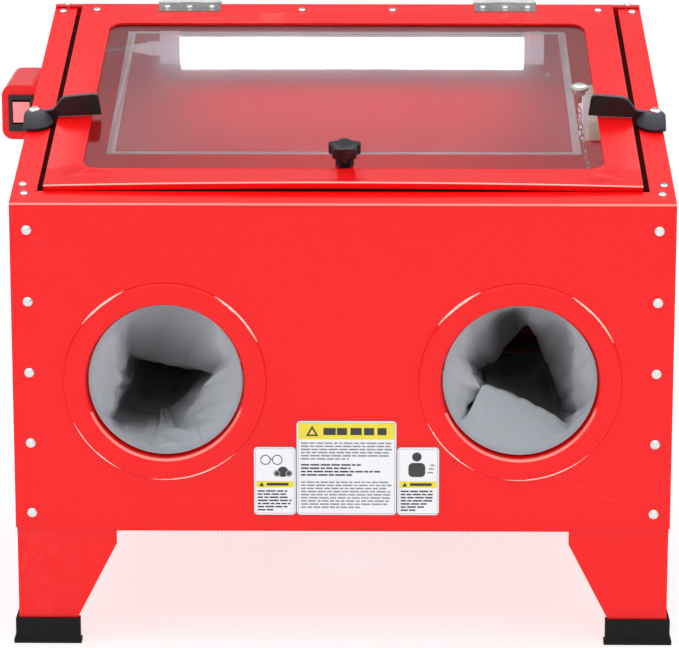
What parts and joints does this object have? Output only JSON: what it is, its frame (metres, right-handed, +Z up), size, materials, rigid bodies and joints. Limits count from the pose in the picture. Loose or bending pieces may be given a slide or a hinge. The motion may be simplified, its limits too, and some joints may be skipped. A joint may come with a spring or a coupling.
{
  "type": "abrasive blasting cabinet",
  "caption": "Bench-top abrasive blasting cabinet with a sloping hinged window lid, swing latches, arm sleeves, inner lamp, filter, air gun and a media trough on splayed legs.",
  "frame": {"origin": "on the floor, under the centre of the box around the whole cabinet with its switch box", "axes": "+Z up, +Y towards the rear (hinges), -Y towards the operator's arm holes, +X to the right as seen from the front"},
  "size_m": [0.6275, 0.4954, 0.5141],
  "materials": {
    "body_paint": "semi-gloss powder coat",
    "foot_rubber": "matt",
    "seal_foam": "closed-cell foam",
    "latch_plastic": "fine texture",
    "knob_plastic": "gloss",
    "sleeve_cloth": "ribbed woven cloth",
    "glove_rubber": "coated",
    "pane": "clear",
    "film": "clear film",
    "label_film": "printed film",
    "lamp_light": "opal, lit",
    "lamp_plastic": "moulded",
    "lead_sheath": "smooth",
    "lamp_metal": "white enamel",
    "box_paint": "semi-gloss powder coat",
    "black_plastic": "moulded",
    "rocker_red": "lit from inside",
    "filter_paper": "pleated",
    "fitting_brass": "turned",
    "hose_rubber": "matt",
    "clear_tube": "clear vinyl",
    "gun_metal": "cast",
    "ceramic": "unglazed",
    "grate_steel": "zinc plated",
    "zinc_steel": "zinc plated"
  },
  "bodies": {
    "cabinet": {"front_panel": "body_paint", "side_panel_left": "body_paint", "side_panel_right": "body_paint", "rear_panel": "body_paint", "seal_ledge": "body_paint", "lid_seal": "seal_foam", "hopper_pan": "body_paint", "hopper_outlet": "zinc_steel", "grate_bars": "grate_steel", "grate_cross_bars": "grate_steel", "grate_rails": "body_paint", "leg_front_left": "body_paint", "leg_front_right": "body_paint", "leg_rear_left": "body_paint", "leg_rear_right": "body_paint", "foot_front_left": "foot_rubber", "foot_front_right": "foot_rubber", "foot_rear_left": "foot_rubber", "foot_rear_right": "foot_rubber", "front_screws": "zinc_steel", "top_screws": "zinc_steel", "rear_screws": "zinc_steel", "base_bolts": "zinc_steel", "ring_left": "body_paint", "ring_right": "body_paint", "sleeve_left": "sleeve_cloth", "sleeve_right": "sleeve_cloth", "gloves": "glove_rubber", "lamp_housing": "lamp_metal", "lamp_diffuser": "lamp_light", "lamp_end_caps": "lamp_plastic", "lamp_plug": "lamp_plastic", "lamp_lead": "lead_sheath", "switch_box": "box_paint", "switch_bezel": "black_plastic", "filter_element": "filter_paper", "filter_cap": "black_plastic", "exhaust_guard": "black_plastic", "air_inlet": "fitting_brass", "air_hose": "hose_rubber", "pickup_tube": "clear_tube", "gun_body": "gun_metal", "gun_nozzle": "ceramic", "label": "label_film", "latch_pivots": "zinc_steel", "stay_chain": "zinc_steel", "chain_anchor": "zinc_steel", "hinge_rear": "zinc_steel"},
    "lid": {"lid_panel": "body_paint", "window_pane": "pane", "film_frame": "film", "hinge_front": "zinc_steel", "lid_screws": "zinc_steel", "chain_bolt": "zinc_steel"},
    "knob": {"lid_knob": "knob_plastic"},
    "latch_left": {"latch_left": "latch_plastic"},
    "latch_right": {"latch_right": "latch_plastic"},
    "switch_rocker": {"rocker": "rocker_red"},
    "trigger": {"gun_trigger": "black_plastic"},
    "clean_out_door": {"hopper_door": "zinc_steel"}
  },
  "joints": [
    {"name": "lid_hinge", "type": "hinge", "parent": "cabinet", "child": "lid", "pos_m": [0.013, 0.2355, 0.5114], "axis": [-1, 0, 0], "range_deg": [0, 75], "deforming": ["stay_chain"]},
    {"name": "latch_left_turn", "type": "hinge", "parent": "cabinet", "child": "latch_left", "pos_m": [-0.2718, -0.06896, 0.44154], "axis": [0, -0.2086, 0.978], "range_deg": [0, 80]},
    {"name": "latch_right_turn", "type": "hinge", "parent": "cabinet", "child": "latch_right", "pos_m": [0.2978, -0.06896, 0.44154], "axis": [0, 0.2086, -0.978], "range_deg": [0, 80]},
    {"name": "knob_turn", "type": "hinge", "parent": "lid", "child": "knob", "pos_m": [0.014, -0.16543, 0.42404], "axis": [0, -0.2086, 0.978], "continuous": true},
    {"name": "rocker_tilt", "type": "hinge", "parent": "cabinet", "child": "switch_rocker", "pos_m": [-0.295, 0.039, 0.4355], "axis": [-1, 0, 0], "range_deg": [0, 12]},
    {"name": "trigger_pull", "type": "hinge", "parent": "cabinet", "child": "trigger", "pos_m": [0.035, 0.0455, 0.18], "axis": [1, 0, 0], "range_deg": [0, 15], "stiffness_Nm_per_rad": 0.2, "springref_deg": -11.46},
    {"name": "clean_out_door_swing", "type": "hinge", "parent": "cabinet", "child": "clean_out_door", "pos_m": [0.013, 0.0385, 0.057], "axis": [1, 0, 0], "range_deg": [0, 85]}
  ]
}
